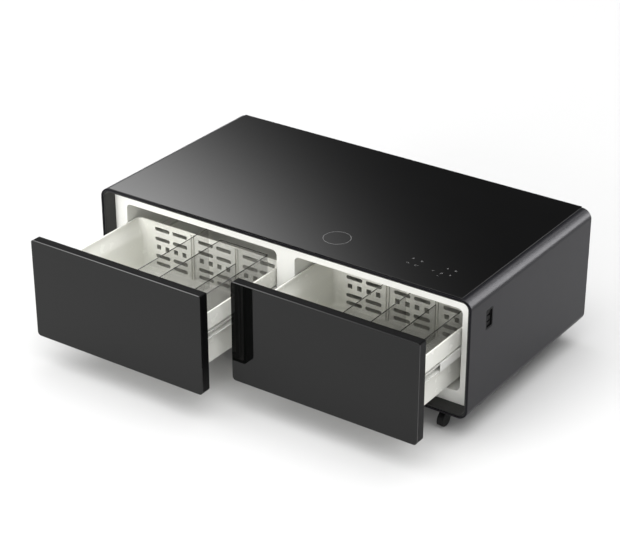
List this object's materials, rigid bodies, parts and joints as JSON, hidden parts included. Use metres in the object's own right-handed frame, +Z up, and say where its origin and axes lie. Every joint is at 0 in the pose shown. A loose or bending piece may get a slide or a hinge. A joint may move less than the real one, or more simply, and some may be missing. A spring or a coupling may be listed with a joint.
{
  "type": "refrigerator coffee table",
  "caption": "Low glass-topped coffee table with a rounded black steel body, cooled pull-out drawers with glass fronts, and swivel casters.",
  "frame": {"origin": "on the floor, under the middle of the footprint with the drawers open as pictured", "axes": "+X to the right along the front, +Y towards the back, +Z up; the drawers open towards -Y"},
  "size_m": [1.3, 1.042, 0.4445],
  "materials": {
    "black_steel": "satin",
    "black_plastic": "matte",
    "top_glass": "gloss",
    "front_glass": "gloss",
    "front_black": "satin",
    "white_plastic": "satin",
    "tub_white": "satin",
    "smoked_acrylic": "gloss",
    "seal_rubber": "matte",
    "zinc_steel": "satin",
    "black_enamel": "satin",
    "cold_plate": "satin",
    "copper": "satin",
    "circuit_board": "satin",
    "pad_black": "matte",
    "light_bar": "satin",
    "foam": "matte",
    "caster_black": "satin",
    "wheel_rubber": "matte"
  },
  "bodies": {
    "cabinet": {"cabinet_shell": "black_steel", "front_bezel": "black_plastic", "top_glass": "top_glass", "inner_liner": "white_plastic", "foam_insulation": "foam", "rear_panel": "black_steel", "compressor_tray": "zinc_steel", "compressor": "black_enamel", "condenser_coil": "black_enamel", "fan_frame": "black_plastic", "power_board": "circuit_board", "filter_drier": "copper", "evaporator_left": "cold_plate", "evaporator_right": "cold_plate", "touch_board": "circuit_board", "charging_pad": "pad_black", "side_socket": "black_plastic", "power_inlet": "black_plastic", "light_bar_left": "light_bar", "light_bar_right": "light_bar", "caster_plate_front_left": "zinc_steel", "caster_plate_front_right": "zinc_steel", "caster_plate_rear_left": "zinc_steel", "caster_plate_rear_right": "zinc_steel", "slide_outer_left_l": "zinc_steel", "slide_outer_left_r": "zinc_steel", "slide_outer_right_l": "zinc_steel", "slide_outer_right_r": "zinc_steel"},
    "fan_rotor": {"fan_rotor": "black_plastic"},
    "caster_swivel_front_left": {"caster_fork_front_left": "caster_black"},
    "caster_wheel_front_left": {"caster_wheel_front_left": "wheel_rubber"},
    "caster_swivel_front_right": {"caster_fork_front_right": "caster_black"},
    "caster_wheel_front_right": {"caster_wheel_front_right": "wheel_rubber"},
    "caster_swivel_rear_left": {"caster_fork_rear_left": "caster_black"},
    "caster_wheel_rear_left": {"caster_wheel_rear_left": "wheel_rubber"},
    "caster_swivel_rear_right": {"caster_fork_rear_right": "caster_black"},
    "caster_wheel_rear_right": {"caster_wheel_rear_right": "wheel_rubber"},
    "drawer_left": {"front_glass_left": "front_glass", "front_frame_left": "front_black", "inner_panel_left": "white_plastic", "gasket_left": "seal_rubber", "drawer_tub_left": "tub_white", "divider_rack_left": "smoked_acrylic", "upper_tray_left": "smoked_acrylic", "slide_inner_left_l": "zinc_steel", "slide_inner_left_r": "zinc_steel"},
    "slide_middle_left_l": {"slide_middle_left_l": "zinc_steel"},
    "slide_middle_left_r": {"slide_middle_left_r": "zinc_steel"},
    "drawer_right": {"front_glass_right": "front_glass", "front_frame_right": "front_black", "inner_panel_right": "white_plastic", "gasket_right": "seal_rubber", "drawer_tub_right": "tub_white", "divider_rack_right": "smoked_acrylic", "upper_tray_right": "smoked_acrylic", "slide_inner_right_l": "zinc_steel", "slide_inner_right_r": "zinc_steel"},
    "slide_middle_right_l": {"slide_middle_right_l": "zinc_steel"},
    "slide_middle_right_r": {"slide_middle_right_r": "zinc_steel"}
  },
  "joints": [
    {"name": "drawer_left_travel", "type": "slide", "parent": "cabinet", "child": "drawer_left", "axis": [0, -1, 0], "range_m": [-0.348, 0.052]},
    {"name": "slide_left_l_travel", "type": "slide", "parent": "cabinet", "child": "slide_middle_left_l", "axis": [0, -1, 0], "range_m": [-0.174, 0.026]},
    {"name": "slide_left_r_travel", "type": "slide", "parent": "cabinet", "child": "slide_middle_left_r", "axis": [0, -1, 0], "range_m": [-0.174, 0.026]},
    {"name": "drawer_right_travel", "type": "slide", "parent": "cabinet", "child": "drawer_right", "axis": [0, -1, 0], "range_m": [-0.227, 0.173]},
    {"name": "slide_right_l_travel", "type": "slide", "parent": "cabinet", "child": "slide_middle_right_l", "axis": [0, -1, 0], "range_m": [-0.1135, 0.0865]},
    {"name": "slide_right_r_travel", "type": "slide", "parent": "cabinet", "child": "slide_middle_right_r", "axis": [0, -1, 0], "range_m": [-0.1135, 0.0865]},
    {"name": "caster_swivel_front_left", "type": "hinge", "parent": "cabinet", "child": "caster_swivel_front_left", "pos_m": [-0.557, -0.117, 0.05], "axis": [0, 0, 1], "continuous": true},
    {"name": "caster_roll_front_left", "type": "hinge", "parent": "caster_swivel_front_left", "child": "caster_wheel_front_left", "pos_m": [-0.557, -0.139, 0.024], "axis": [1, 0, 0], "continuous": true},
    {"name": "caster_swivel_front_right", "type": "hinge", "parent": "cabinet", "child": "caster_swivel_front_right", "pos_m": [0.557, -0.117, 0.05], "axis": [0, 0, 1], "continuous": true},
    {"name": "caster_roll_front_right", "type": "hinge", "parent": "caster_swivel_front_right", "child": "caster_wheel_front_right", "pos_m": [0.557, -0.139, 0.024], "axis": [1, 0, 0], "continuous": true},
    {"name": "caster_swivel_rear_left", "type": "hinge", "parent": "cabinet", "child": "caster_swivel_rear_left", "pos_m": [-0.557, 0.459, 0.05], "axis": [0, 0, 1], "continuous": true},
    {"name": "caster_roll_rear_left", "type": "hinge", "parent": "caster_swivel_rear_left", "child": "caster_wheel_rear_left", "pos_m": [-0.557, 0.437, 0.024], "axis": [1, 0, 0], "continuous": true},
    {"name": "caster_swivel_rear_right", "type": "hinge", "parent": "cabinet", "child": "caster_swivel_rear_right", "pos_m": [0.557, 0.459, 0.05], "axis": [0, 0, 1], "continuous": true},
    {"name": "caster_roll_rear_right", "type": "hinge", "parent": "caster_swivel_rear_right", "child": "caster_wheel_rear_right", "pos_m": [0.557, 0.437, 0.024], "axis": [1, 0, 0], "continuous": true},
    {"name": "fan_spin", "type": "hinge", "parent": "cabinet", "child": "fan_rotor", "pos_m": [0.02, 0.419, 0.2255], "axis": [1, 0, 0], "continuous": true}
  ],
  "couplings": [
    {"joint": "slide_left_l_travel", "follows": "drawer_left_travel", "ratio": 0.5},
    {"joint": "slide_left_r_travel", "follows": "drawer_left_travel", "ratio": 0.5},
    {"joint": "slide_right_l_travel", "follows": "drawer_right_travel", "ratio": 0.5},
    {"joint": "slide_right_r_travel", "follows": "drawer_right_travel", "ratio": 0.5}
  ]
}
